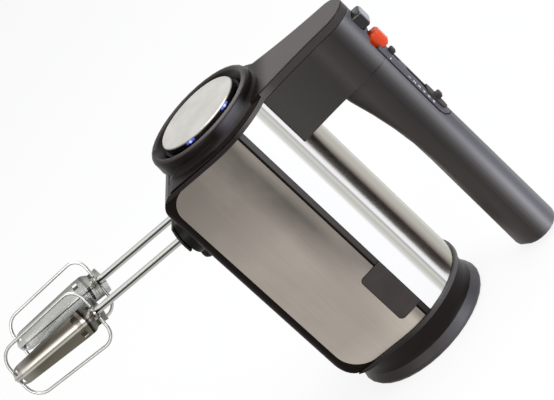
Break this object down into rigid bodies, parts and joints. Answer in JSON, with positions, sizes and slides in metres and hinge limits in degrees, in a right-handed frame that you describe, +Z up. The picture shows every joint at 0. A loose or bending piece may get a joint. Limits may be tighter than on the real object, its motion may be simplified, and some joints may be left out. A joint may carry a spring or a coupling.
{
  "type": "hand mixer",
  "caption": "Electric hand mixer with a round chrome and steel body, straight handle with thumb controls, and two counter-turning beaters, standing on its flat heel.",
  "frame": {"origin": "centre of the flat heel face that the mixer stands on, on the motor axis", "axes": "+Z up along the motor axis towards the front badge, +X from the motor to the handle (the beaters point along -X), -Y the left side as the user holds it"},
  "size_m": [0.3304, 0.101, 0.214],
  "materials": {
    "shell": "satin, dark warm grey",
    "shell_dark": "satin, nearly black",
    "chrome": "polished",
    "brushed": "brushed lengthwise",
    "silver": "finely brushed",
    "beater_steel": "polished",
    "steel": "turned or stamped, plain",
    "orange": "semi-gloss",
    "light": "clear blue light guide",
    "copper": "enamelled wire and copper bars",
    "iron": "bare laminations and die casting",
    "brass": "turned",
    "nylon": "natural nylon",
    "carbon": "pressed carbon",
    "board": "coated circuit board",
    "rubber": "moulded"
  },
  "bodies": {
    "housing": {"front_cover": "shell", "front_frame": "shell", "medallion": "silver", "light_ring": "light", "led_board": "board", "chrome_shell": "chrome", "lower_housing": "shell_dark", "side_panel_left": "brushed", "side_panel_right": "brushed", "side_tab_left": "shell", "side_tab_right": "shell", "rear_frame": "shell", "rear_cap": "shell_dark", "handle_housing": "shell", "control_plate": "shell", "cord_inlet": "rubber", "control_board": "board", "turbo_switch": "shell_dark", "speed_control": "shell_dark", "gear_frame": "iron", "spindle_bush_left": "brass", "spindle_bush_right": "brass", "front_bush": "brass", "rear_bush": "brass", "stator_core": "iron", "field_coil_upper": "copper", "field_coil_lower": "copper", "rear_bracket": "nylon", "brush_holder_left": "brass", "brush_holder_right": "brass", "carbon_brush_left": "carbon", "carbon_brush_right": "carbon", "beater_boss": "shell_dark", "socket_plate": "shell_dark"},
    "rotor": {"motor_shaft": "steel", "armature_core": "iron", "winding_front": "copper", "winding_rear": "copper", "commutator": "copper", "cooling_fan": "nylon"},
    "spindle_left_body": {"spindle_left": "steel", "worm_wheel_left": "nylon"},
    "spindle_right_body": {"spindle_right": "steel", "worm_wheel_right": "nylon"},
    "beater_left": {"beater_shaft_left": "beater_steel", "beater_collar_left": "beater_steel", "wire_loop_left": "beater_steel", "blade_loop_left": "beater_steel", "beater_tip_left": "beater_steel"},
    "beater_right": {"beater_shaft_right": "beater_steel", "beater_collar_right": "beater_steel", "wire_loop_right": "beater_steel", "blade_loop_right": "beater_steel", "beater_tip_right": "beater_steel"},
    "ejector": {"eject_button": "shell_dark", "eject_slide": "steel"},
    "turbo": {"turbo_button": "orange"},
    "lock": {"lock_switch": "shell"},
    "speed": {"speed_slider": "shell"}
  },
  "joints": [
    {"name": "motor_spin", "type": "hinge", "parent": "housing", "child": "rotor", "pos_m": [0, 0, 0.1], "axis": [0, 0, 1], "continuous": true},
    {"name": "spindle_left_spin", "type": "hinge", "parent": "housing", "child": "spindle_left_body", "pos_m": [0, -0.0192, 0.1633], "axis": [1, 0, 0], "continuous": true},
    {"name": "spindle_right_spin", "type": "hinge", "parent": "housing", "child": "spindle_right_body", "pos_m": [0, 0.0192, 0.1633], "axis": [1, 0, 0], "continuous": true},
    {"name": "eject_press", "type": "slide", "parent": "housing", "child": "ejector", "axis": [-1, 0, 0], "range_m": [0, 0.005], "stiffness_N_per_m": 600},
    {"name": "beater_left_drop", "type": "slide", "parent": "spindle_left_body", "child": "beater_left", "axis": [-1, 0, 0], "range_m": [0, 0.005]},
    {"name": "beater_right_drop", "type": "slide", "parent": "spindle_right_body", "child": "beater_right", "axis": [-1, 0, 0], "range_m": [0, 0.005]},
    {"name": "turbo_press", "type": "slide", "parent": "housing", "child": "turbo", "axis": [-1, 0, 0], "range_m": [0, 0.0025], "stiffness_N_per_m": 500},
    {"name": "lock_slide", "type": "slide", "parent": "housing", "child": "lock", "axis": [0, 0, -1], "range_m": [0, 0.006]},
    {"name": "speed_slide", "type": "slide", "parent": "housing", "child": "speed", "axis": [0, 0, 1], "range_m": [0, 0.0235]}
  ],
  "couplings": [
    {"joint": "spindle_left_spin", "follows": "motor_spin", "ratio": -0.083333},
    {"joint": "spindle_right_spin", "follows": "motor_spin", "ratio": 0.083333},
    {"joint": "beater_left_drop", "follows": "eject_press", "ratio": 1},
    {"joint": "beater_right_drop", "follows": "eject_press", "ratio": 1}
  ]
}
